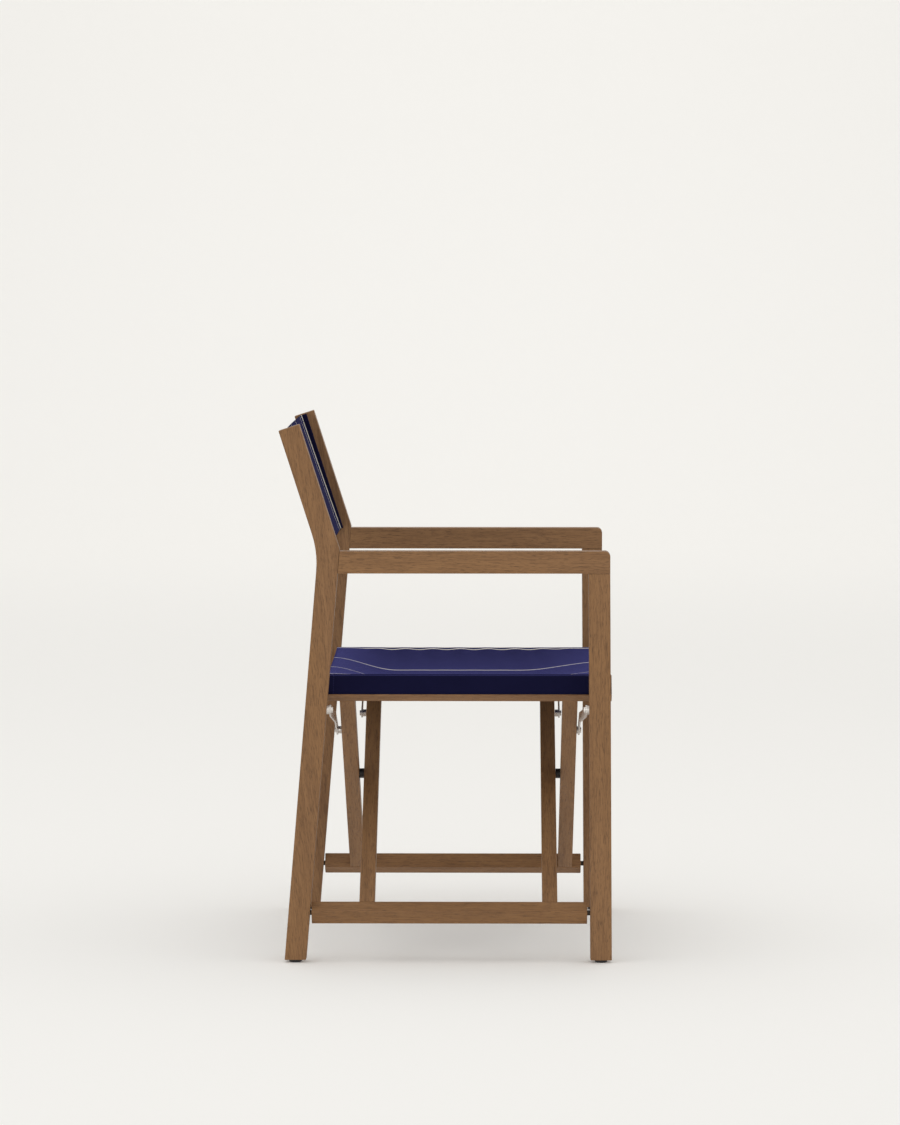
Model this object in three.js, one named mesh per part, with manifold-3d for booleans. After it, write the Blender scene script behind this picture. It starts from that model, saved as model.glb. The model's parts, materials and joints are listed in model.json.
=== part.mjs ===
// A folding director chair. Two wooden side frames are joined by two pairs of crossed bars,
// and a fabric seat and back are stretched between them. The frames come together when the
// crossed bars close like scissors, and four metal links keep the frames upright.
//
// Millimetres, +Z up, +X to the front, +Y to the sitter's left. The origin is on the floor
// under the middle of the chair, and the chair is modelled open.
import * as THREE from 'three';
import { mergeVertices } from 'three/addons/utils/BufferGeometryUtils.js';
import Module from 'manifold-3d';

const wasm = await Module();
wasm.setup();

// Driving dimensions
const WIDTH = 580; // over the outer faces of the side frames
const FRAME_THICKNESS = 28; // of a side frame, along Y
const GAP = 0.3; // between pieces that touch
const FRONT = 261.5; // the foot of the front leg and the seat rails end here
const POST_WIDTH = 33.7; // of the rear post and the front leg, seen from the side
const LEG_LEAN = THREE.MathUtils.degToRad(4.75); // the rear post's lower half leans forward
const RECLINE = THREE.MathUtils.degToRad(17.84); // its upper half leans back
const FRONT_LEAN = THREE.MathUtils.degToRad(0.38); // the front leg leans back a little
const KINK_HEIGHT = 652.9; // where the rear post changes direction, on its front face
const UPPER_LENGTH = 205.7; // of the rear post above that, along its front face
const ARM_BOTTOM = 615.3;
const ARM_TOP = 650;
const GLIDE_HEIGHT = 4.5; // the wood ends this far above the floor

const OPEN_ANGLE = THREE.MathUtils.degToRad(34.2); // of the crossed bars above level
const FOOT_PIVOT_Z = 78; // a bottom rail's axis, above the floor
const BAR_WIDTH = 24; // of a crossed bar, along X
const BAR_DEPTH = 26.4; // of a crossed bar, across it
const REAR_BARS_X = -168.65; // rear face of the outer rear bar
const FRONT_BARS_X = 207.85; // front face of the outer front bar
const PIVOT_SPACER = 8; // between the two bars of a pair
const SEAT_REACH = 293.3; // from the pivot to a seat rail's outer face, along the bar
const SEAT_RAIL = { thick: 19, deep: 37, rear: -190.5 };
const BOTTOM_RAIL = { thick: 23, rear: -211.5, front: 222.5 };
const TENON = { width: 10, deep: 16, seat: 7, foot: 12 };

const FABRIC = 1.2; // thickness of the seat and back
const SEAT_SAG = 20;
const ROD_RADIUS = 2.5; // of the rods in the seat's hems
// With its fabric. Front is behind the post's front face, and start is above the sleeve's end.
const BATTEN = { front: 13, wide: 13, thick: 6.6, start: 10 };

const LINK_PIVOT_Z = 399.55; // a link's screw in the leg
const LINK_REACH = 152; // its screw at the bar, from the pivot along the bar
const LINK = { width: 16, thick: 2.5, hole: 2.9 };

// Sizes worked out from them
const FRAME_Y = (WIDTH - FRAME_THICKNESS) / 2; // middle plane of a side frame
const INNER_Y = FRAME_Y - FRAME_THICKNESS / 2; // its inner face
const FOOT_REACH = FRAME_Y / Math.cos(OPEN_ANGLE); // from the pivot to a bottom rail's axis
const PIVOT_Z = FOOT_PIVOT_Z + FRAME_Y * Math.tan(OPEN_ANGLE);

// Materials
const metal = (color, roughness) =>
  new THREE.MeshStandardMaterial({ color, roughness, metalness: 0.9 });
const matt = (color, roughness) =>
  new THREE.MeshStandardMaterial({ color, roughness, metalness: 0 });
const wood = matt(0x7d5c3e, 0.65);
const paleWood = matt(0xb08d62, 0.7);
const nickel = metal(0xb8b4ac, 0.3);
const black = matt(0x151515, 0.5);
const navy = matt(0x17183a, 0.9);

// Shape helpers. A span is a pair [from, to] along one axis.
const block = (x, y, z) => {
  const size = [x, y, z].map(([a, b]) => Math.abs(b - a));
  const middle = [x, y, z].map(([a, b]) => (a + b) / 2);
  return new THREE.BoxGeometry(...size).translate(...middle);
};
const rodAlongX = (radius, x, y, z, sides = 20) =>
  new THREE.CylinderGeometry(radius, radius, Math.abs(x[1] - x[0]), sides)
    .rotateZ(Math.PI / 2)
    .translate((x[0] + x[1]) / 2, y, z);
const plate = (shape, y) => // an outline in X and Z, thick along Y
  new THREE.ExtrudeGeometry(shape, { depth: y[1] - y[0], bevelEnabled: false, curveSegments: 5 })
    .rotateX(Math.PI / 2)
    .translate(0, y[1], 0);
const alongX = (shape, x) => // an outline in Y and Z, thick along X
  new THREE.ExtrudeGeometry(shape, { depth: x[1] - x[0], bevelEnabled: false, curveSegments: 8 })
    .applyMatrix4(new THREE.Matrix4().set(0, 0, 1, x[0], 1, 0, 0, 0, 0, 1, 0, 0, 0, 0, 0, 1));
const outline = (points) => new THREE.Shape(points.map(([a, b]) => new THREE.Vector2(a, b)));

// Booleans
const solid = (geometry) => {
  const bare = geometry.clone();
  bare.deleteAttribute('normal');
  bare.deleteAttribute('uv');
  const merged = mergeVertices(bare, 1e-4);
  return new wasm.Manifold(new wasm.Mesh({
    numProp: 3,
    vertProperties: new Float32Array(merged.attributes.position.array),
    triVerts: new Uint32Array(merged.index.array),
  }));
};
const fromSolid = (manifold) => {
  const mesh = manifold.getMesh();
  const geometry = new THREE.BufferGeometry();
  geometry.setAttribute('position', new THREE.BufferAttribute(mesh.vertProperties, 3));
  geometry.setIndex(new THREE.BufferAttribute(mesh.triVerts, 1));
  return geometry;
};
const cut = (body, ...tools) =>
  fromSolid(tools.reduce((rest, tool) => rest.subtract(solid(tool)), solid(body)));
const join = (body, ...others) =>
  fromSolid(others.reduce((whole, other) => whole.add(solid(other)), solid(body)));
const common = (a, b) => fromSolid(solid(a).intersect(solid(b)));

const chair = new THREE.Group();
const add = (parent, name, geometry, material) => {
  const mesh = new THREE.Mesh(geometry, material);
  mesh.name = name;
  parent.add(mesh);
};

// A turned fastener along X: a head, then a shank that ends at tip. Heads face away from tip.
const screw = (headRadius, headX, shankRadius, tipX, y, z) => {
  const [outer, seat] = headX;
  const profile = [[0, outer], [headRadius, outer], [headRadius, seat], [shankRadius, seat],
    [shankRadius, tipX], [0, tipX]].map(([r, x]) => new THREE.Vector2(r, x - outer));
  const forward = tipX > outer;
  if (!forward) profile.forEach((point) => { point.y = -point.y; });
  return new THREE.LatheGeometry(profile, 16)
    .rotateZ(forward ? -Math.PI / 2 : Math.PI / 2)
    .translate(outer, y, z);
};

// The rear post's front face: its top, its kink and its foot. The top rear corner is the
// chair's rearmost point, as far back as the front leg's foot is forward.
const TOP_X = -FRONT + POST_WIDTH * Math.cos(RECLINE);
const KINK_X = TOP_X + UPPER_LENGTH * Math.sin(RECLINE);
const TOP_Z = KINK_HEIGHT + UPPER_LENGTH * Math.cos(RECLINE);
const postFront = (z) => KINK_X - (KINK_HEIGHT - z) * Math.tan(LEG_LEAN);
const legFront = (z) => FRONT - z * Math.tan(FRONT_LEAN);
const legRear = (z) => legFront(z) - POST_WIDTH / Math.cos(FRONT_LEAN);

const rearPost = () => {
  const back = (z) => postFront(z) - POST_WIDTH / Math.cos(LEG_LEAN);
  const half = (LEG_LEAN + RECLINE) / 2;
  const bend = POST_WIDTH / Math.cos(half); // across the post at the kink
  const tilt = RECLINE - half;
  const rearKink = new THREE.Vector2(
    KINK_X - bend * Math.cos(tilt), KINK_HEIGHT - bend * Math.sin(tilt));
  const ease = 30; // the rear of the kink is rounded over this length each way
  const shape = new THREE.Shape();
  shape.moveTo(postFront(GLIDE_HEIGHT), GLIDE_HEIGHT);
  shape.lineTo(KINK_X, KINK_HEIGHT);
  shape.lineTo(TOP_X, TOP_Z);
  shape.lineTo(-FRONT, TOP_Z - POST_WIDTH * Math.sin(RECLINE));
  shape.lineTo(rearKink.x - ease * Math.sin(RECLINE), rearKink.y + ease * Math.cos(RECLINE));
  shape.quadraticCurveTo(rearKink.x, rearKink.y,
    rearKink.x - ease * Math.sin(LEG_LEAN), rearKink.y - ease * Math.cos(LEG_LEAN));
  shape.lineTo(back(GLIDE_HEIGHT), GLIDE_HEIGHT);
  return plate(shape, [-FRAME_THICKNESS / 2, FRAME_THICKNESS / 2]);
};

const frontLeg = () => plate(outline([
  [legRear(GLIDE_HEIGHT), GLIDE_HEIGHT], [legFront(GLIDE_HEIGHT), GLIDE_HEIGHT],
  [legFront(ARM_BOTTOM - GAP), ARM_BOTTOM - GAP], [legRear(ARM_BOTTOM - GAP), ARM_BOTTOM - GAP],
]), [-FRAME_THICKNESS / 2, FRAME_THICKNESS / 2]);

const armrest = () => {
  const tip = legFront(ARM_BOTTOM);
  const round = 8;
  const shape = new THREE.Shape();
  shape.moveTo(postFront(ARM_BOTTOM) + GAP, ARM_BOTTOM);
  shape.lineTo(tip, ARM_BOTTOM);
  shape.lineTo(tip, ARM_TOP - round);
  shape.absarc(tip - round, ARM_TOP - round, round, 0, Math.PI / 2);
  shape.lineTo(postFront(ARM_TOP) + GAP, ARM_TOP);
  return plate(shape, [-FRAME_THICKNESS / 2, FRAME_THICKNESS / 2]);
};

const glide = (x) => {
  const profile = [[0, 0], [9, 0], [10, 1], [10, GLIDE_HEIGHT - GAP], [1.6, GLIDE_HEIGHT - GAP],
    [1.6, 18], [0, 18]].map(([r, z]) => new THREE.Vector2(r, z));
  return new THREE.LatheGeometry(profile, 20).rotateX(Math.PI / 2).translate(x, 0, 0);
};
const upright = (radius, x, z, sides = 16) =>
  new THREE.CylinderGeometry(radius, radius, z[1] - z[0], sides)
    .rotateX(Math.PI / 2)
    .translate(x, 0, (z[0] + z[1]) / 2);

// Where the links' straps run at each corner, along X: against the leg, then past the joggle
const CORNERS = [
  { at: 'rear', side: -1, leg: [-183.15, -180.65], bar: [-177.15, -174.65], face: REAR_BARS_X },
  { at: 'rear', side: 1, leg: [-183.15, -180.65], bar: [-145.15, -142.65],
    face: REAR_BARS_X + BAR_WIDTH + PIVOT_SPACER },
  { at: 'front', side: -1, leg: [221.85, 219.35], bar: [212.75, 210.25], face: FRONT_BARS_X },
  { at: 'front', side: 1, leg: [221.85, 219.35], bar: [184.35, 181.85],
    face: FRONT_BARS_X - BAR_WIDTH - PIVOT_SPACER },
];
const WASHER_RADIUS = 7;
// The leg is faced square under the washer, down to its lowest point there.
const washerSeat = {
  rear: postFront(LINK_PIVOT_Z - WASHER_RADIUS - 1),
  front: legRear(LINK_PIVOT_Z - WASHER_RADIUS - 1) + 0.3,
};
const DOWEL = { radius: 5, reach: 18 };
const PIN = { radius: 4, reach: 20 };
const armDowelX = legFront(ARM_BOTTOM) - POST_WIDTH / 2;
const armDowelZ = (ARM_BOTTOM + ARM_TOP) / 2;

for (const [side, sign] of [['right', -1], ['left', 1]]) {
  const frame = new THREE.Group();
  frame.position.y = sign * FRAME_Y;
  chair.add(frame);
  const rearGlideX = postFront(0) - POST_WIDTH / 2;
  const frontGlideX = FRONT - POST_WIDTH / 2;
  const frontDowel = [ARM_BOTTOM - DOWEL.reach, ARM_BOTTOM + DOWEL.reach];
  const rearDowel = [postFront(armDowelZ) - DOWEL.reach, postFront(armDowelZ) + DOWEL.reach];
  const rearPin = [postFront(FOOT_PIVOT_Z) - PIN.reach, BOTTOM_RAIL.rear + PIN.reach];
  const frontPin = [BOTTOM_RAIL.front - PIN.reach, legRear(FOOT_PIVOT_Z) + PIN.reach];
  const grow = ([a, b], by = GAP) => [a - by, b + by];
  const legScrew = { shank: 2.5, length: 22 };

  add(frame, `${side}_rear_post`, cut(rearPost(),
    rodAlongX(DOWEL.radius + GAP, grow(rearDowel), 0, armDowelZ),
    rodAlongX(PIN.radius + GAP, grow(rearPin), 0, FOOT_PIVOT_Z),
    upright(1.9, rearGlideX, [0, 18 + GAP], 12),
    rodAlongX(WASHER_RADIUS + 0.5, [washerSeat.rear, washerSeat.rear + 8], 0, LINK_PIVOT_Z, 24),
    rodAlongX(legScrew.shank + GAP, [washerSeat.rear - legScrew.length, washerSeat.rear + 1],
      0, LINK_PIVOT_Z)), wood);
  add(frame, `${side}_front_leg`, cut(frontLeg(),
    upright(DOWEL.radius + GAP, armDowelX, grow(frontDowel)),
    rodAlongX(PIN.radius + GAP, grow(frontPin), 0, FOOT_PIVOT_Z),
    upright(1.9, frontGlideX, [0, 18 + GAP], 12),
    rodAlongX(WASHER_RADIUS + 0.5, [washerSeat.front - 8, washerSeat.front], 0, LINK_PIVOT_Z, 24),
    rodAlongX(legScrew.shank + GAP, [washerSeat.front - 1, washerSeat.front + legScrew.length],
      0, LINK_PIVOT_Z)), wood);
  add(frame, `${side}_armrest`, cut(armrest(),
    rodAlongX(DOWEL.radius + GAP, grow(rearDowel), 0, armDowelZ),
    upright(DOWEL.radius + GAP, armDowelX, grow(frontDowel))), wood);
  add(frame, `${side}_arm_front_dowel`, upright(DOWEL.radius, armDowelX, frontDowel), paleWood);
  add(frame, `${side}_arm_rear_dowel`,
    rodAlongX(DOWEL.radius, rearDowel, 0, armDowelZ, 16), paleWood);
  add(frame, `${side}_rear_rail_pin`, rodAlongX(PIN.radius, rearPin, 0, FOOT_PIVOT_Z, 16), nickel);
  add(frame, `${side}_front_rail_pin`,
    rodAlongX(PIN.radius, frontPin, 0, FOOT_PIVOT_Z, 16), nickel);
  add(frame, `${side}_rear_glide`, glide(rearGlideX), black);
  add(frame, `${side}_front_glide`, glide(frontGlideX), black);

  for (const corner of CORNERS.filter((one) => one.side === sign)) {
    const seat = washerSeat[corner.at];
    const inward = Math.sign(corner.leg[1] - corner.leg[0]); // away from the leg
    const washer = [seat + inward * GAP, corner.leg[0] - inward * GAP];
    add(frame, `${side}_${corner.at}_link_washer`, cut(
      rodAlongX(WASHER_RADIUS, washer, 0, LINK_PIVOT_Z),
      rodAlongX(LINK.hole, [washer[0] - inward, washer[1] + inward], 0, LINK_PIVOT_Z)), nickel);
    const head = corner.leg[1] + inward * GAP;
    add(frame, `${side}_${corner.at}_link_leg_screw`,
      screw(5, [head + inward * 2.6, head], legScrew.shank,
        seat - inward * (legScrew.length - 1), 0, LINK_PIVOT_Z), nickel);
  }
}

// One pair of crossed bars with its seat rail and bottom rail, all glued together. Its own
// frame has the pivot at the origin and Y along the bars; toFoot says which way the foot is.
const crossing = (name, toFoot, barsX, seatSide, footSide) => {
  const group = new THREE.Group();
  group.position.z = PIVOT_Z;
  group.rotation.x = -toFoot * OPEN_ANGLE;
  chair.add(group);
  const along = (from, to) => [toFoot * from, toFoot * to];
  const seatFace = -SEAT_REACH + SEAT_RAIL.thick;
  const footFace = FOOT_REACH - BOTTOM_RAIL.thick / 2;
  const mortises = (from, to) => barsX.map(([a, b]) => block(
    [(a + b - TENON.width) / 2 - GAP, (a + b + TENON.width) / 2 + GAP],
    along(from, to), [-TENON.deep / 2 - GAP, TENON.deep / 2 + GAP]));
  barsX.forEach(([a, b], index) => {
    const tenon = block([(a + b - TENON.width) / 2, (a + b + TENON.width) / 2],
      along(seatFace - TENON.seat, footFace + TENON.foot), [-TENON.deep / 2, TENON.deep / 2]);
    const bar = block([a, b], along(seatFace + GAP, footFace - GAP),
      [-BAR_DEPTH / 2, BAR_DEPTH / 2]);
    const pivotHoles = [rodAlongX(4.3, [a - 1, b + 1], 0, 0)];
    const sinks = name === 'outer' ? PIVOTS[index].head : PIVOTS[index].nut;
    pivotHoles.push(rodAlongX(8.3, sinks, 0, 0, 24));
    add(group, `${name}_${index ? 'front' : 'rear'}_bar`, cut(join(bar, tenon), ...pivotHoles),
      wood);
  });
  const [rodY, rodZ] = HEM_ROD;
  const groove = [
    rodAlongX(HEM.bore, [SEAT_RAIL.rear - 1, FRONT], toFoot * rodY, rodZ, 24),
    block([SEAT_RAIL.rear - 1, FRONT], along(-SEAT_REACH - 1, rodY),
      [rodZ - HEM.bore, rodZ - HEM.bore + 2]),
  ];
  add(group, `${seatSide}_seat_rail`, cut(
    block([SEAT_RAIL.rear, FRONT - 0.2], along(-SEAT_REACH, seatFace),
      [-BAR_DEPTH / 2, SEAT_RAIL.deep - BAR_DEPTH / 2]),
    ...mortises(seatFace - TENON.seat - GAP, seatFace + 1), ...groove), wood);
  add(group, `${seatSide}_seat_hem_rod`,
    rodAlongX(ROD_RADIUS, [SEAT_RAIL.rear + 2, FRONT - 2.2], toFoot * rodY, rodZ, 12), paleWood);
  add(group, `${footSide}_bottom_rail`, cut(
    block([BOTTOM_RAIL.rear, BOTTOM_RAIL.front], along(footFace, footFace + BOTTOM_RAIL.thick),
      [-BAR_DEPTH / 2, BAR_DEPTH / 2]),
    ...mortises(footFace - 1, footFace + TENON.foot + GAP),
    rodAlongX(PIN.radius + GAP, [BOTTOM_RAIL.rear - 1, BOTTOM_RAIL.rear + PIN.reach + GAP],
      toFoot * FOOT_REACH, 0),
    rodAlongX(PIN.radius + GAP, [BOTTOM_RAIL.front - PIN.reach - GAP, BOTTOM_RAIL.front + 1],
      toFoot * FOOT_REACH, 0)), wood);
  return group;
};

// The rod in each of the seat's hems lies in a keyhole groove near the seat rail's lower edge.
const HEM = { bore: 4.4, inset: 6.4, above: 6.4 };
const HEM_ROD = [-SEAT_REACH + HEM.inset, -BAR_DEPTH / 2 + HEM.above];

// Each pair of bars turns on a bolt with its head and nut sunk in the wood.
const SINK = 7;
const PIVOTS = [
  { at: 'rear', outer: REAR_BARS_X, inward: 1 }, { at: 'front', outer: FRONT_BARS_X, inward: -1 },
].map(({ at, outer, inward }) => {
  const inner = outer + inward * (2 * BAR_WIDTH + PIVOT_SPACER);
  return { at, outer, inner, inward,
    head: [outer - inward, outer + inward * SINK], nut: [inner - inward * SINK, inner + inward] };
});
const span = (from, to) => [Math.min(from, to), Math.max(from, to)];
const outerBars = PIVOTS.map((one) => span(one.outer, one.outer + one.inward * BAR_WIDTH));
const innerBars = PIVOTS.map((one) => span(one.inner - one.inward * BAR_WIDTH, one.inner));
crossing('outer', 1, outerBars, 'right', 'left');
crossing('inner', -1, innerBars, 'left', 'right');
for (const { at, outer, inner, inward } of PIVOTS) {
  const headSeat = outer + inward * (SINK - GAP);
  const nutSeat = inner - inward * (SINK - GAP);
  add(chair, `${at}_pivot_bolt`, screw(8, [headSeat - inward * 5, headSeat], 4,
    inner - inward, 0, PIVOT_Z), nickel);
  const spacer = [outer + inward * (BAR_WIDTH + GAP), inner - inward * (BAR_WIDTH + GAP)];
  const hole = (x) => rodAlongX(4.3, [x[0] - inward, x[1] + inward], 0, PIVOT_Z);
  add(chair, `${at}_pivot_spacer`,
    cut(rodAlongX(8, spacer, 0, PIVOT_Z, 24), hole(spacer)), black);
  const nut = [nutSeat, nutSeat + inward * 5];
  add(chair, `${at}_pivot_nut`, cut(rodAlongX(8, nut, 0, PIVOT_Z, 6), hole(nut)), nickel);
}

// The links: a joggled strap from each leg to its bar, with the screw at the bar and the
// spacer behind it. That screw stops just short of the bar.
const linkY = FRAME_Y;
const barY = LINK_REACH * Math.cos(OPEN_ANGLE);
const barZ = PIVOT_Z + LINK_REACH * Math.sin(OPEN_ANGLE);
const LINK_LENGTH = Math.hypot(linkY - barY, LINK_PIVOT_Z - barZ);
const strap = ({ leg, bar }) => {
  const [joggleStart, joggleEnd] = [16, 58];
  const end = LINK.width / 2;
  const side = new THREE.Shape([
    [-end, leg[0]], [joggleStart, leg[0]], [joggleEnd, bar[0]], [LINK_LENGTH + end, bar[0]],
    [LINK_LENGTH + end, bar[1]], [joggleEnd, bar[1]], [joggleStart, leg[1]], [-end, leg[1]],
  ].map(([u, x]) => new THREE.Vector2(u, x)));
  const bent = new THREE.ExtrudeGeometry(side, { depth: LINK.width, bevelEnabled: false })
    .applyMatrix4(new THREE.Matrix4().set(
      0, 1, 0, 0, 1, 0, 0, 0, 0, 0, -1, end, 0, 0, 0, 1));
  const stadium = new THREE.Shape();
  stadium.absarc(LINK_LENGTH, 0, end, -Math.PI / 2, Math.PI / 2);
  stadium.absarc(0, 0, end, Math.PI / 2, 1.5 * Math.PI);
  const reach = span(Math.min(...leg, ...bar) - 1, Math.max(...leg, ...bar) + 1);
  return cut(common(bent, alongX(stadium, reach)),
    rodAlongX(LINK.hole, reach, 0, 0), rodAlongX(LINK.hole, reach, LINK_LENGTH, 0));
};
for (const corner of CORNERS) {
  const name = `${corner.side < 0 ? 'right' : 'left'}_${corner.at}_link`;
  const link = new THREE.Group();
  link.position.set(0, corner.side * linkY, LINK_PIVOT_Z);
  link.rotation.x = Math.atan2(barZ - LINK_PIVOT_Z, corner.side * (barY - linkY));
  chair.add(link);
  const toBar = Math.sign(corner.face - corner.bar[1]);
  const [near, far] = span(...corner.bar);
  const [outside, inside] = toBar > 0 ? [near, far] : [far, near];
  add(link, `${name}_strap`, strap(corner), nickel);
  const tip = corner.face - toBar * 0.5;
  add(link, `${name}_bar_screw`, screw(4.5, [outside - toBar * (GAP + 2.4), outside - toBar * GAP],
    2.5, tip, LINK_LENGTH, 0), nickel);
  const spacer = [inside + toBar * GAP, tip];
  add(link, `${name}_spacer`, cut(rodAlongX(6, spacer, LINK_LENGTH, 0),
    rodAlongX(LINK.hole, [spacer[0] - toBar, spacer[1] + toBar], LINK_LENGTH, 0)), nickel);
}

// Seat: one length of fabric. From the rod in the right rail's groove it goes up the rail's
// outer face, sags across to the left rail, and ends round the rod there.
const ribbon = (path, thick) => {
  const offset = (sign) => path.map((point, index) => {
    const before = path[Math.max(index - 1, 0)];
    const after = path[Math.min(index + 1, path.length - 1)];
    const way = new THREE.Vector2().subVectors(after, before).normalize();
    return new THREE.Vector2(point.x - sign * way.y * thick / 2, point.y + sign * way.x * thick / 2);
  });
  return new THREE.Shape([...offset(-1), ...offset(1).reverse()]);
};
const toWorld = ([u, w]) => new THREE.Vector2(
  u * Math.cos(OPEN_ANGLE) + w * Math.sin(OPEN_ANGLE),
  PIVOT_Z - u * Math.sin(OPEN_ANGLE) + w * Math.cos(OPEN_ANGLE));
const away = GAP + FABRIC / 2;
const rightHem = [];
for (let turn = -1.25 * Math.PI; turn <= -0.499 * Math.PI + 1e-9; turn += Math.PI / 8) {
  const radius = ROD_RADIUS + away;
  rightHem.push([HEM_ROD[0] - radius * Math.cos(turn), HEM_ROD[1] + radius * Math.sin(turn)]);
}
const slotZ = HEM_ROD[1] - ROD_RADIUS - away;
rightHem.push([-SEAT_REACH, slotZ], [-SEAT_REACH - away, slotZ + away]);
const sagSlope = Math.atan((2 * SEAT_SAG) / (SEAT_REACH * Math.cos(OPEN_ANGLE)));
const leaveAngle = Math.PI / 2 + OPEN_ANGLE - sagSlope; // where the fabric leaves the rail's edge
for (let turn = Math.PI; turn > leaveAngle; turn -= (Math.PI - leaveAngle) / 3.001) {
  rightHem.push([-SEAT_REACH + away * Math.cos(turn),
    SEAT_RAIL.deep - BAR_DEPTH / 2 + away * Math.sin(turn)]);
}
const rightPath = rightHem.map(toWorld);
const edge = rightPath[rightPath.length - 1];
const seatPath = [...rightPath];
for (let step = 1; step < 16; step += 1) {
  const share = (step / 16) * 2 - 1;
  seatPath.push(new THREE.Vector2(-edge.x * share, edge.y - SEAT_SAG * (1 - share * share)));
}
seatPath.push(...rightPath.map((point) => new THREE.Vector2(-point.x, point.y)).reverse());
add(chair, 'seat_sling', alongX(ribbon(seatPath, FABRIC), [SEAT_RAIL.rear + 1.5, FRONT - 1]), navy);

// Back: one length of fabric with a sleeve at each side, pulled over a batten that is
// screwed to the inner face of the rear post.
const back = new THREE.Group(); // its Z runs up the reclined post, its X forwards
back.position.set(KINK_X, 0, KINK_HEIGHT);
back.rotation.y = -RECLINE;
chair.add(back);
const BACK_HEIGHT = [2, UPPER_LENGTH - 1.5];
const sleeve = {
  x: [-BATTEN.front - BATTEN.wide, -BATTEN.front], y: [INNER_Y - GAP, INNER_Y - BATTEN.thick],
};
const backOutline = () => {
  const [rear, front] = sleeve.x;
  const [outside, inside] = sleeve.y;
  return outline([[rear, -outside], [front, -outside], [front, -inside], [rear + FABRIC, -inside],
    [rear + FABRIC, inside], [front, inside], [front, outside], [rear, outside]]);
};
const across = (shape, z) =>
  new THREE.ExtrudeGeometry(shape, { depth: z[1] - z[0], bevelEnabled: false }).translate(0, 0, z[0]);
const inset = FABRIC + GAP;
const battenSpace = (sign, by, z) => block([sleeve.x[0] + by, sleeve.x[1] - by],
  [sign * (sleeve.y[0] - by), sign * (sleeve.y[1] + by)], z);
add(back, 'back_sling', cut(across(backOutline(), BACK_HEIGHT),
  ...[-1, 1].map((sign) => battenSpace(sign, FABRIC, [0, UPPER_LENGTH]))), navy);
for (const [side, sign] of [['right', -1], ['left', 1]]) {
  add(back, `${side}_back_batten`,
    battenSpace(sign, inset, [BACK_HEIGHT[0] + BATTEN.start, BACK_HEIGHT[1] - 1]), paleWood);
}

export default chair;
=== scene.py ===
import json
import math

import bmesh
import bpy
import numpy as np
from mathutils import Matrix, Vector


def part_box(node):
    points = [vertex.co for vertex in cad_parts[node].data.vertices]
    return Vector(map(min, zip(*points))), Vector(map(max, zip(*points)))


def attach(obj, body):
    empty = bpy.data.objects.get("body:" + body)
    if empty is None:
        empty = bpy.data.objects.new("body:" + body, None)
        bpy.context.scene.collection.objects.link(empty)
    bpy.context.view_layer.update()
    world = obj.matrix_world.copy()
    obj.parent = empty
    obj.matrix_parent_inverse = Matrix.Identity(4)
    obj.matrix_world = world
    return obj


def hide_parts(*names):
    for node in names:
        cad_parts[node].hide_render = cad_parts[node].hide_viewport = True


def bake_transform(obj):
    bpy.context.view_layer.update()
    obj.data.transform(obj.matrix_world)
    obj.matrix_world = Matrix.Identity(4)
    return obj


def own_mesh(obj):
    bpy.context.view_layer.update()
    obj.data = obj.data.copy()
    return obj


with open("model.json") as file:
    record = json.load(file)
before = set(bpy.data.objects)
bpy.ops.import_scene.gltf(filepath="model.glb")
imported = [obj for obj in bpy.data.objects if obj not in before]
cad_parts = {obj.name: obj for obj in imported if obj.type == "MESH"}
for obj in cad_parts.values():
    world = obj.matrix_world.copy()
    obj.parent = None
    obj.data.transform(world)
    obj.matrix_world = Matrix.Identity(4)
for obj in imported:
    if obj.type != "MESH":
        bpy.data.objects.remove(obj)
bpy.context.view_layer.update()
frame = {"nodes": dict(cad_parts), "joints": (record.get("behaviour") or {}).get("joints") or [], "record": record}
scene = bpy.context.scene

# The setting: a pale studio sweep whose floor rises into a wall behind the chair, lit by a
# bright room all round, a wide soft light overhead, one from the front and one on the wall.
scene.view_settings.view_transform = "Standard"
scene.view_settings.look = "None"

camera_data = bpy.data.cameras.new("camera")
camera_data.lens = 142.25
camera_data.sensor_width = 36
camera_data.clip_end = 60
camera = bpy.data.objects.new("camera", camera_data)
camera.location = (0.0804, -7.225, 1.150)
camera.rotation_euler = (math.radians(90 - 4.265), 0, math.radians(0.61))
scene.collection.objects.link(camera)
scene.camera = camera


def place_light(name, spot, aim, size, power):
    """A square area light at a spot, turned to face the point it aims at."""
    data = bpy.data.lights.new(name, "AREA")
    data.size = size
    data.energy = power
    light = bpy.data.objects.new(name, data)
    light.location = spot
    way = Vector(aim) - Vector(spot)
    light.rotation_euler = way.to_track_quat("-Z", "Y").to_euler()
    scene.collection.objects.link(light)


place_light("overhead", (-0.4, -0.2, 4.6), (0, 0.2, 0.4), 6.0, 46)
place_light("front_fill", (1.6, -9.0, 2.9), (0, 0, 0.6), 3.0, 36)
place_light("wall_wash", (0, 8.2, 5.6), (0, 11.6, 1.6), 3.0, 44)

world = bpy.data.worlds.new("room")
world.use_nodes = True
world.node_tree.nodes["Background"].inputs["Color"].default_value = (1.0, 0.995, 0.98, 1)
world.node_tree.nodes["Background"].inputs["Strength"].default_value = 0.79
scene.world = world


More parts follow.
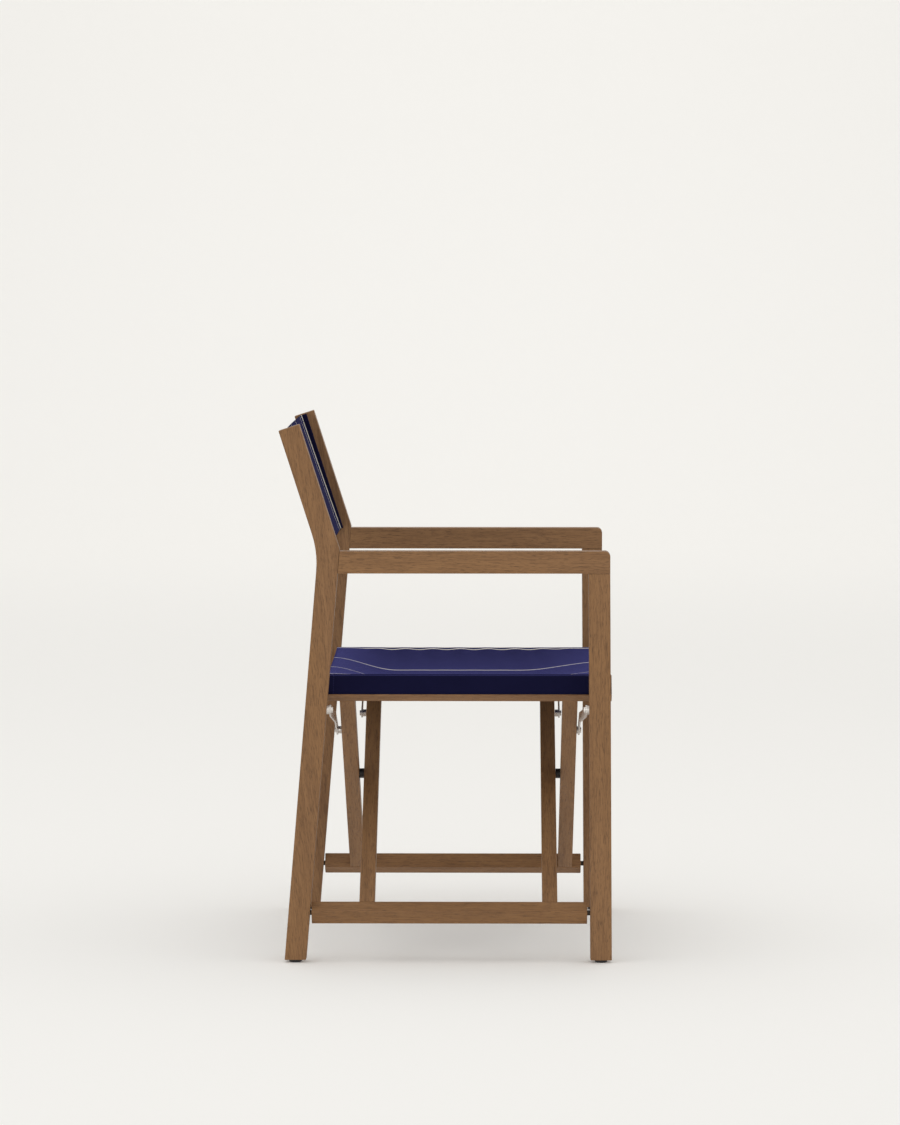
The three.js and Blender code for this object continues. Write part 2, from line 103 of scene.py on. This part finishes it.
def grid_mesh(name, points, uv=None):
    """A sheet of quads through an (n, m, 3) array of points, with a UV for each where given."""
    rows, columns = points.shape[:2]
    index = np.arange(rows * columns).reshape(rows, columns)
    quads = np.stack([index[:-1, :-1], index[1:, :-1], index[1:, 1:], index[:-1, 1:]], -1)
    mesh = bpy.data.meshes.new(name)
    mesh.from_pydata(points.reshape(-1, 3).tolist(), [], quads.reshape(-1, 4).tolist())
    if uv is not None:
        layer = mesh.uv_layers.new(name="cloth")
        layer.data.foreach_set("uv", uv.reshape(-1, 2)[quads.reshape(-1)].ravel())
    mesh.polygons.foreach_set("use_smooth", np.full(len(mesh.polygons), True))
    piece = bpy.data.objects.new(name, mesh)
    scene.collection.objects.link(piece)
    return piece


# The sweep is a flat floor, a quarter circle and a straight wall, one after the other. Its
# paper glows a little, in place of the light that the rest of a studio would send back.
SWEEP_STEPS, SWEEP_HALF_WIDTH = 40, 8.0
FLOOR_SHARE, CURVE_SHARE = 0.45, 0.25
FLOOR_FROM, FLOOR_TO = -9, 9.5
CURVE_RADIUS, WALL_RISE = 2, 22
sweep_way = np.linspace(0, 1, SWEEP_STEPS)
bend = np.clip((sweep_way - FLOOR_SHARE) / CURVE_SHARE, 0, 1) * math.pi / 2
floor_y = FLOOR_FROM + (FLOOR_TO - FLOOR_FROM) * sweep_way / FLOOR_SHARE
curve_y = FLOOR_TO + CURVE_RADIUS * np.sin(bend)
sweep_y = np.where(sweep_way < FLOOR_SHARE, floor_y, curve_y)
wall_way = np.clip(sweep_way - FLOOR_SHARE - CURVE_SHARE, 0, 1)
sweep_z = CURVE_RADIUS * (1 - np.cos(bend)) + wall_way * WALL_RISE
sweep_x = np.array([-SWEEP_HALF_WIDTH, SWEEP_HALF_WIDTH])
sweep_points = np.stack(np.broadcast_arrays(sweep_x, sweep_y[:, None], sweep_z[:, None]), -1)
sweep = grid_mesh("studio_sweep", sweep_points[::-1])
paper = bpy.data.materials.new("studio_paper")
paper.use_nodes = True
paper_inputs = paper.node_tree.nodes["Principled BSDF"].inputs
paper_inputs["Base Color"].default_value = (0.832, 0.823, 0.802, 1)
paper_inputs["Roughness"].default_value = 1
paper_inputs["Specular IOR Level"].default_value = 0
paper_inputs["Emission Color"].default_value = (1, 0.985, 0.95, 1)
paper_inputs["Emission Strength"].default_value = 0.115
sweep.data.materials.append(paper)

# The wooden pieces: open-grained brown hardwood, planed, with eased edges and an oil finish.
# Each is cut so that its grain runs along its length, so the grain is turned piece by piece.
OPEN_ANGLE = math.radians(34.2)
POST_RECLINE = math.radians(6.5)


class Nodes:
    """A short way to add and join the nodes of one material."""

    def __init__(self, name):
        self.material = bpy.data.materials.new(name)
        self.material.use_nodes = True
        self.tree = self.material.node_tree
        self.shader = self.tree.nodes["Principled BSDF"]

    def add(self, kind, inputs=(), **settings):
        node = self.tree.nodes.new(kind)
        for key, value in settings.items():
            setattr(node, key, value)
        for key, value in dict(inputs).items():
            if isinstance(value, bpy.types.NodeSocket):
                self.tree.links.new(value, node.inputs[key])
            else:
                node.inputs[key].default_value = value
        return node

    def feed(self, key, socket):
        self.tree.links.new(socket, self.shader.inputs[key])

    def math(self, operation, a, b=0.0, c=0.0):
        return self.add("ShaderNodeMath", {0: a, 1: b, 2: c}, operation=operation).outputs[0]

    def mix(self, share, a, b):
        node = self.add("ShaderNodeMix", {"Factor": share, 6: a, 7: b}, data_type="RGBA")
        return node.outputs[2]

    def noise(self, vector, scale, detail=2.0, roughness=0.5):
        inputs = {"Vector": vector, "Scale": scale, "Detail": detail, "Roughness": roughness}
        return self.add("ShaderNodeTexNoise", inputs).outputs["Fac"]

    def between(self, value, low, high):
        """0 below low, 1 above high, and a smooth rise from one to the other."""
        inputs = {"Value": value, "From Min": low, "From Max": high}
        node = self.add("ShaderNodeMapRange", inputs, interpolation_type="SMOOTHSTEP")
        return node.outputs["Result"]

    def bump(self, height, distance, strength=1.0):
        inputs = {"Height": height, "Distance": distance, "Strength": strength}
        self.feed("Normal", self.add("ShaderNodeBump", inputs).outputs["Normal"])


DARK_WOOD, LIGHT_WOOD = (0.205, 0.103, 0.043, 1), (0.300, 0.158, 0.069, 1)
WARM_WOOD, STREAK_WOOD = (0.285, 0.146, 0.058, 1), (0.112, 0.052, 0.023, 1)
PORE_WOOD = (0.045, 0.02, 0.01, 1)


def hardwood(name, turn, offset):
    """Brown hardwood whose grain runs along the axis that turn brings to Z. Long noise bands
    give its colour, finer ones its figure, and short dark dashes its open pores. All of them
    are shifted sideways by a slow noise, so that the grain wanders."""
    wood = Nodes(name)
    place = wood.add("ShaderNodeTexCoord").outputs["Object"]
    straight = wood.add("ShaderNodeMapping", {"Vector": place, "Rotation": turn}).outputs[0]
    moved = wood.add("ShaderNodeMapping", {"Vector": straight, "Location": offset}).outputs[0]
    wander = wood.noise(moved, 5.0, 2)
    drift = wood.math("MULTIPLY", wood.math("SUBTRACT", wander, 0.5), 0.012)
    shift = wood.add("ShaderNodeCombineXYZ", {"X": drift, "Y": drift}).outputs[0]
    bent = wood.add("ShaderNodeVectorMath", {0: moved, 1: shift}, operation="ADD").outputs[0]

    def stretched(along):
        return wood.add("ShaderNodeMapping", {"Vector": bent, "Scale": (1, 1, along)}).outputs[0]

    broad = wood.noise(stretched(0.05), 90, 3, 0.55)
    figure = wood.noise(stretched(0.035), 700, 3, 0.65)
    pores = wood.noise(stretched(0.06), 1300, 2, 0.6)
    patches = wood.noise(stretched(0.2), 9, 2)
    tone = wood.mix(wood.between(broad, 0.25, 0.75), DARK_WOOD, LIGHT_WOOD)
    warm = wood.mix(wood.between(patches, 0.35, 0.75), tone, WARM_WOOD)
    streak = wood.math("MULTIPLY", wood.between(figure, 0.44, 0.7), 0.46)
    figured = wood.mix(streak, warm, STREAK_WOOD)
    pore = wood.between(pores, 0.56, 0.65)
    wood.feed("Base Color", wood.mix(wood.math("MULTIPLY", pore, 0.5), figured, PORE_WOOD))
    rough = wood.add("ShaderNodeMapRange", {"Value": figure, "To Min": 0.42, "To Max": 0.62})
    wood.feed("Roughness", rough.outputs["Result"])
    relief = wood.math("SUBTRACT", wood.math("MULTIPLY", figure, 0.25), pore)
    wood.bump(relief, 0.00022, 0.6)
    wood.shader.inputs["Specular IOR Level"].default_value = 0.3
    return wood.material


EASED_RADIUS = 0.0011
SHORTEST_EASED = 0.009  # edges of holes and grooves are shorter
SHARP, FLAT = math.radians(40), math.radians(35)


def eased_copy(node, material):
    """A copy of a CAD node with its loose triangles merged into flat faces, and its long sharp
    edges rounded."""
    source = frame["nodes"][node]
    copy = bpy.data.objects.new(node + "_eased", source.data.copy())
    scene.collection.objects.link(copy)
    shape = bmesh.new()
    shape.from_mesh(copy.data)
    bmesh.ops.remove_doubles(shape, verts=shape.verts, dist=1e-6)
    bmesh.ops.dissolve_limit(
        shape, angle_limit=math.radians(1), verts=shape.verts, edges=shape.edges)
    weight = shape.edges.layers.float.new("bevel_weight_edge")
    for edge in shape.edges:
        sharp = len(edge.link_faces) == 2 and edge.calc_face_angle() > SHARP
        edge[weight] = 1.0 if sharp and edge.calc_length() > SHORTEST_EASED else 0.0
    for face in shape.faces:
        face.smooth = True
    for edge in shape.edges:
        edge.smooth = len(edge.link_faces) == 2 and edge.calc_face_angle() < FLAT
    shape.to_mesh(copy.data)
    shape.free()
    rounding = copy.modifiers.new("eased_edges", "BEVEL")
    rounding.limit_method = "WEIGHT"
    rounding.width = EASED_RADIUS
    rounding.segments = 3
    rounding.use_clamp_overlap = True
    rounding.harden_normals = True
    copy.data.materials.clear()
    copy.data.materials.append(material)
    bodies = frame["record"]["behaviour"]["bodies"]
    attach(copy, next(body for body, names in bodies.items() if node in names))
    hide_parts(node)


UPRIGHT = (0, 0, 0)
LEVEL = (0, math.pi / 2, 0)
GRAIN = {"rear_post": (0, POST_RECLINE, 0), "front_leg": UPRIGHT, "armrest": LEVEL,
         "seat_rail": LEVEL, "bottom_rail": LEVEL}
wooden = [name for name in frame["nodes"] if name.endswith(tuple(GRAIN) + ("_bar",))]
for number, name in enumerate(sorted(wooden)):
    if name.endswith("_bar"):
        lean = OPEN_ANGLE if name.startswith("outer") else -OPEN_ANGLE
        turn = (math.pi / 2 + lean, 0, 0)
    else:
        turn = next(GRAIN[end] for end in GRAIN if name.endswith(end))
    offset = (0.37 * number, 0.23 * number, 1.1 * number)
    eased_copy(name, hardwood(name + "_wood", turn, offset))

# The battens, hem rods and dowels: plain pale hardwood strips and rods, hidden in the
# fabric's sleeves and in the joints.
plain = Nodes("pale_hardwood")
plain_place = plain.add("ShaderNodeTexCoord").outputs["Object"]
plain_stretch = plain.add("ShaderNodeMapping", {"Vector": plain_place, "Scale": (1, 1, 0.1)})
plain_grain = plain.noise(plain_stretch.outputs[0], 400, 3)
plain.feed("Base Color", plain.mix(plain_grain, (0.36, 0.22, 0.11, 1), (0.52, 0.35, 0.19, 1)))
plain.shader.inputs["Roughness"].default_value = 0.7
plain.bump(plain_grain, 0.0001)

# The links, screws, pins, nuts and washers: steel with a bright nickel plate, brushed a little
# by the tumbler and dulled in places.
nickel = Nodes("bright_nickel")
nickel_place = nickel.add("ShaderNodeTexCoord").outputs["Object"]
brush = nickel.noise(nickel_place, 900, 2)
dulled = nickel.noise(nickel_place, 60, 3)
nickel.feed("Base Color", nickel.mix(dulled, (0.62, 0.58, 0.54, 1), (0.78, 0.74, 0.7, 1)))
nickel.shader.inputs["Metallic"].default_value = 1
polish = nickel.add("ShaderNodeMapRange", {"Value": dulled, "To Min": 0.2, "To Max": 0.38})
nickel.feed("Roughness", polish.outputs["Result"])
nickel.bump(brush, 0.00004, 0.4)

# The foot glides and the spacers between the crossed bars: moulded black plastic, finely
# textured and scuffed grey where it rubs.
plastic = Nodes("black_plastic")
plastic_place = plastic.add("ShaderNodeTexCoord").outputs["Object"]
scuff = plastic.between(plastic.noise(plastic_place, 180, 4), 0.55, 0.8)
plastic.feed("Base Color", plastic.mix(scuff, (0.012, 0.011, 0.011, 1), (0.045, 0.04, 0.038, 1)))
plastic.shader.inputs["Roughness"].default_value = 0.45
plastic.bump(plastic.noise(plastic_place, 2500, 1), 0.00003)

# The pins that the bottom rails turn on: steel made dark as painted shade of the gaps at the rail ends.
painted_shade_steel = Nodes("painted_shade_pin_steel")
painted_shade_place = painted_shade_steel.add("ShaderNodeTexCoord").outputs["Object"]
pin_mottle = painted_shade_steel.noise(painted_shade_place, 300, 3)
# Painted shade: the pins' dark colour stands in for the shade in the narrow gaps, with a random mottle.
painted_shade_steel.feed("Base Color", painted_shade_steel.mix(pin_mottle, (0.05, 0.04, 0.03, 1), (0.11, 0.09, 0.075, 1)))
painted_shade_steel.shader.inputs["Metallic"].default_value = 0.8
painted_shade_steel.shader.inputs["Roughness"].default_value = 0.5
painted_shade_steel.bump(pin_mottle, 0.00003)

for name, node in frame["nodes"].items():
    if name in wooden or name.endswith("sling"):
        continue
    if name.endswith(("dowel", "hem_rod", "batten")):
        finish = plain.material
    elif name.endswith("glide") or name.endswith("pivot_spacer"):
        finish = plastic.material
    # the rail pins get the steel made dark as painted shade of the gaps at the rails' ends
    elif name.endswith("rail_pin"):
        finish = painted_shade_steel.material
    else:
        finish = nickel.material
    for place in node.material_slots:
        place.material = finish

# The fabric of the seat and the back: navy woven canvas with thin cream stripes, in plain
# weave. Its UV map is in metres: U across the chair from the middle, V along the stripes.
STRIPE_HALF, THREAD_PITCH = 0.0017, 0.00075
STITCH_HALF, STITCH_LENGTH = 0.0005, 0.0042


def striped_canvas(name, stripes, hems, seam, middle, nap):
    """Navy canvas with cream stripes at the given distances either side of U = middle. A row of
    stitches runs across the stripes at each V in hems, and along them at the distance seam. The
    threads are the product of a sine across and a sine along. Nap is how much sheen it has."""
    cloth = Nodes(name)
    uv = cloth.add("ShaderNodeUVMap", uv_map="cloth").outputs["UV"]
    parts = cloth.add("ShaderNodeSeparateXYZ", {"Vector": uv}).outputs
    across, along = parts["X"], parts["Y"]
    mirrored = cloth.math("ABSOLUTE", cloth.math("SUBTRACT", across, middle))
    uneven = cloth.math("SUBTRACT", cloth.noise(uv, 160, 2), 0.5)
    reach = cloth.math("ADD", mirrored, cloth.math("MULTIPLY", uneven, 0.0006))

    def line(value, centre, half, soft):
        off = cloth.math("ABSOLUTE", cloth.math("SUBTRACT", value, centre))
        return cloth.math("SUBTRACT", 1.0, cloth.between(off, half - soft, half + soft))

    def wave(value, length):
        return cloth.math("SINE", cloth.math("MULTIPLY", value, 2 * math.pi / length))

    striped = line(reach, stripes[0], STRIPE_HALF, 0.0003)
    for centre in stripes[1:]:
        striped = cloth.math("MAXIMUM", striped, line(reach, centre, STRIPE_HALF, 0.0003))
    weave = cloth.math("MULTIPLY", wave(across, THREAD_PITCH), wave(along, THREAD_PITCH))
    drawn = cloth.add("ShaderNodeMapping", {"Vector": uv, "Scale": (1, 0.04, 1)}).outputs[0]
    slub = cloth.noise(drawn, 1500, 2)
    fade = cloth.noise(uv, 14, 3)
    dyed = cloth.mix(fade, (0.0042, 0.0042, 0.0170, 1), (0.0072, 0.0072, 0.029, 1))
    threaded = cloth.mix(cloth.math("MULTIPLY", slub, 0.35), dyed, (0.013, 0.013, 0.052, 1))
    cream = cloth.mix(slub, (0.62, 0.58, 0.49, 1), (0.84, 0.8, 0.7, 1))
    woven = cloth.mix(striped, threaded, cream)

    dashes = cloth.between(wave(across, STITCH_LENGTH), -0.5, -0.1)
    stitch = cloth.math("MULTIPLY", line(along, hems[0], STITCH_HALF, 0.0002), dashes)
    for place in hems[1:]:
        row = cloth.math("MULTIPLY", line(along, place, STITCH_HALF, 0.0002), dashes)
        stitch = cloth.math("MAXIMUM", stitch, row)
    if seam:
        run = cloth.between(wave(along, STITCH_LENGTH), -0.5, -0.1)
        row = cloth.math("MULTIPLY", line(mirrored, seam, STITCH_HALF, 0.0002), run)
        stitch = cloth.math("MAXIMUM", stitch, row)
    cloth.feed("Base Color", cloth.mix(stitch, woven, (0.022, 0.022, 0.07, 1)))
    cloth.shader.inputs["Roughness"].default_value = 1
    cloth.shader.inputs["Specular IOR Level"].default_value = 0.03
    cloth.shader.inputs["Sheen Weight"].default_value = nap
    cloth.shader.inputs["Sheen Roughness"].default_value = 0.4
    cloth.shader.inputs["Sheen Tint"].default_value = (0.25, 0.25, 0.9, 1)
    threads = cloth.math("MULTIPLY", weave, 0.3)
    relief = cloth.math("ADD", threads, cloth.math("MULTIPLY", stitch, 1.5))
    relief = cloth.math("ADD", relief, cloth.math("MULTIPLY", slub, 0.5))
    cloth.bump(relief, 0.0001, 0.7)
    return cloth.material


def carried(stations):
    """Distance along each row of points, from its middle: the flat place of each point."""
    steps = np.linalg.norm(np.diff(stations, axis=1), axis=2)
    reach = np.concatenate([np.zeros((len(stations), 1)), np.cumsum(steps, axis=1)], axis=1)
    return reach - reach[:, -1:] / 2


def thicken(piece, thickness):
    """Gives a sheet of fabric its thickness, half to each side."""
    solid = piece.modifiers.new("thickness", "SOLIDIFY")
    solid.thickness = thickness
    solid.offset = 0


FABRIC = 0.0012
HEM = 0.011  # from the fabric's edge to its row of stitches

# The seat: one length of canvas, hemmed at the front and the back. It comes out of a groove
# near each seat rail's lower edge, goes up the rail's outer face and sags from rail to rail.
pivot = next(j for j in frame["joints"] if j["name"] == "cross_pivot")["pos_m"]
rail_low, rail_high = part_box("right_seat_rail")
RAIL_REACH, RAIL_TOP, SLOT = 0.2933, 0.0238, -0.0102
STANDOFF = 0.0009  # from the wood to the middle of the fabric
EDGE_CENTRE = 0.0014  # of the arc round the rail's top edge, in from both of its faces
EDGE_RADIUS = STANDOFF + 0.0015
REAR_INSET, ENDS_INSET = 0.0015, 0.0025  # the fabric is shorter than its rails by these
SEAT_STRIPES, SEAT_MIDDLE, SEAT_NAP = (0.076, 0.2150, 0.2245), 0.006, 0.38


def beside_rail(out, up):
    """Points in Y and Z beside the right seat rail: out from its outer face, and up it."""
    u, w = -RAIL_REACH - out, up
    return np.stack([
        pivot[1] + u * math.cos(OPEN_ANGLE) + w * math.sin(OPEN_ANGLE),
        pivot[2] - u * math.sin(OPEN_ANGLE) + w * math.cos(OPEN_ANGLE)], -1)


seat_front = np.linspace(0, 1, 97)
seat_x = rail_low[0] + REAR_INSET + seat_front * (rail_high[0] - rail_low[0] - ENDS_INSET)
edge_turn = np.linspace(math.pi, math.pi / 2 + OPEN_ANGLE - 0.12, 7)
face_up = np.linspace(SLOT + 0.0012, RAIL_TOP - 0.001, 12)
hem_path = np.concatenate([
    beside_rail(np.array([-0.005, -0.0025, -0.0002]), np.full(3, SLOT)),
    beside_rail(np.full(12, STANDOFF + 0.0002), face_up),
    beside_rail(-EDGE_CENTRE - EDGE_RADIUS * np.cos(edge_turn),
                RAIL_TOP - EDGE_CENTRE + EDGE_RADIUS * np.sin(edge_turn)),
])
edge_y, edge_z = hem_path[-1]

# From rail to rail the fabric hangs in a parabola: edge height less sag times (1 - share ** 2).
# The sag is small at the two hems and full between them, and ripples run from the rails.
share = np.linspace(-1, 1, 82)[1:-1]
rise_share = np.clip(np.minimum(seat_front / 0.23, (1 - seat_front) / 0.31), 0, 1)
hem_sag = 0.004 + 0.0075 * seat_front
FULL_SAG = 0.0278
belly = rise_share ** 2 * (3 - 2 * rise_share)
sag = hem_sag + (FULL_SAG - hem_sag) * belly
ripple = 0.0011 * np.sin(seat_front[:, None] * 61 + 5 * share)
ripple = ripple * (np.abs(share) ** 3) * belly[:, None]
seat_sheet = np.zeros((len(seat_front), 2 * len(hem_path) + len(share), 3))
seat_sheet[:, :, 0] = seat_x[:, None]
seat_sheet[:, :len(hem_path), 1:] = hem_path
seat_sheet[:, -len(hem_path):, 1:] = (hem_path * (-1, 1))[::-1]
hung = slice(len(hem_path), len(hem_path) + len(share))
seat_sheet[:, hung, 1] = -edge_y * share
seat_sheet[:, hung, 2] = edge_z - sag[:, None] * (1 - share ** 2) + ripple
seat_across = carried(seat_sheet)
seat_uv = np.stack([seat_across, np.broadcast_to(seat_x[:, None], seat_across.shape)], -1)
seat = grid_mesh("seat_canvas", seat_sheet[::-1], seat_uv[::-1])
thicken(seat, FABRIC)
seat_hems = (seat_x[0] + HEM, seat_x[-1] - HEM)
seat.data.materials.append(striped_canvas(
    "seat_stripes", SEAT_STRIPES, seat_hems, None, SEAT_MIDDLE, SEAT_NAP))
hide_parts("seat_sling")
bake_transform(seat)

# The back: one length of canvas with a sleeve sewn at each side. Each sleeve is pulled over a
# batten on the inner face of its rear post, and the canvas is stretched from one to the other.
RECLINE = math.radians(17.84)
POST_INNER = 0.262
SLEEVE_FRONT, SLEEVE_BACK = 0.0136, 0.0254  # behind the post's front face
SLEEVE_OUT, SLEEVE_IN = 0.0009, 0.0060  # from the post's inner face
CORNER = 0.0009  # where the fabric turns each of the batten's corners
KINK_X, KINK_Z = -0.1664, 0.6529  # where the post's front face changes direction
POST_LENGTH = 0.2057
BACK_STRIPES, BACK_SEAM, BACK_NAP = (0.076, 0.2150, 0.2556), 0.243, 0.1
back_up = np.linspace(0, 1, 61)
rise = 0.002 + back_up * (POST_LENGTH - 0.0035)
leave = 0.0180 + 0.0048 * back_up ** 0.8  # where the canvas leaves the sleeve


def round_corners(corners, radius):
    """A path through (n, k, 2) corner points. Each inner corner is turned on a quadratic curve
    that starts and ends a radius away from it."""
    path = [corners[:, :1]]
    for at in range(1, corners.shape[1] - 1):
        here = corners[:, at]
        back_way = corners[:, at - 1] - here
        on_way = corners[:, at + 1] - here
        start = here + back_way / np.linalg.norm(back_way, axis=1)[:, None] * radius
        end = here + on_way / np.linalg.norm(on_way, axis=1)[:, None] * radius
        for way in (0, 0.25, 0.5, 0.75, 1):
            point = (1 - way) ** 2 * start + 2 * way * (1 - way) * here + way ** 2 * end
            path.append(point[:, None])
    return np.concatenate(path, axis=1)


def corner(behind, inward):
    """One corner of the sleeve at every height: behind the post's front face, and in from it."""
    return np.stack(np.broadcast_arrays(behind, inward, back_up)[:2], -1)


sleeve_corners = np.stack([
    corner(leave + 0.0013, SLEEVE_IN - 0.0001),
    corner(SLEEVE_BACK, SLEEVE_IN - 0.0001), corner(SLEEVE_BACK, SLEEVE_OUT),
    corner(SLEEVE_FRONT, SLEEVE_OUT), corner(SLEEVE_FRONT, SLEEVE_IN),
    corner(leave, SLEEVE_IN), corner(leave + 0.0002, SLEEVE_IN + 0.006)], axis=1)
sleeve_path = round_corners(sleeve_corners, CORNER)
start_behind = sleeve_path[:, -1, 0]
start_inward = sleeve_path[:, -1, 1]
span = np.linspace(0, 1, 92)[1:-1]
half_gap = POST_INNER - start_inward

# Between the sleeves the canvas bows back a little, with waves that are deeper low down.
bow = np.sin(math.pi * span)[None]
waves = np.sin(math.pi * 7 * span)[None] * (0.3 + 0.7 * (1 - back_up))[:, None] * bow
behind = start_behind[:, None] + 0.0018 * bow + 0.0006 * waves
right_side = np.stack([sleeve_path[:, :, 0], -POST_INNER + sleeve_path[:, :, 1]], -1)
left_side = np.stack([sleeve_path[:, ::-1, 0], POST_INNER - sleeve_path[:, ::-1, 1]], -1)
span_side = np.stack([behind, half_gap[:, None] * (2 * span - 1)[None]], -1)
back_path = np.concatenate([right_side, span_side, left_side], axis=1)
back_sheet = np.stack([
    KINK_X - rise[:, None] * math.sin(RECLINE) - back_path[:, :, 0] * math.cos(RECLINE),
    back_path[:, :, 1],
    KINK_Z + rise[:, None] * math.cos(RECLINE) - back_path[:, :, 0] * math.sin(RECLINE)], -1)
back_across = carried(back_sheet)
back_uv = np.stack([back_across, np.broadcast_to(rise[:, None], back_across.shape)], -1)
back = grid_mesh("back_canvas", back_sheet, back_uv)
thicken(back, FABRIC)
back_hems = (rise[0] + HEM, rise[-1] - HEM)
back.data.materials.append(striped_canvas(
    "back_stripes", BACK_STRIPES, back_hems, BACK_SEAM, 0, BACK_NAP))
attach(back, "right_frame")
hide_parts("back_sling")
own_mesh(back)
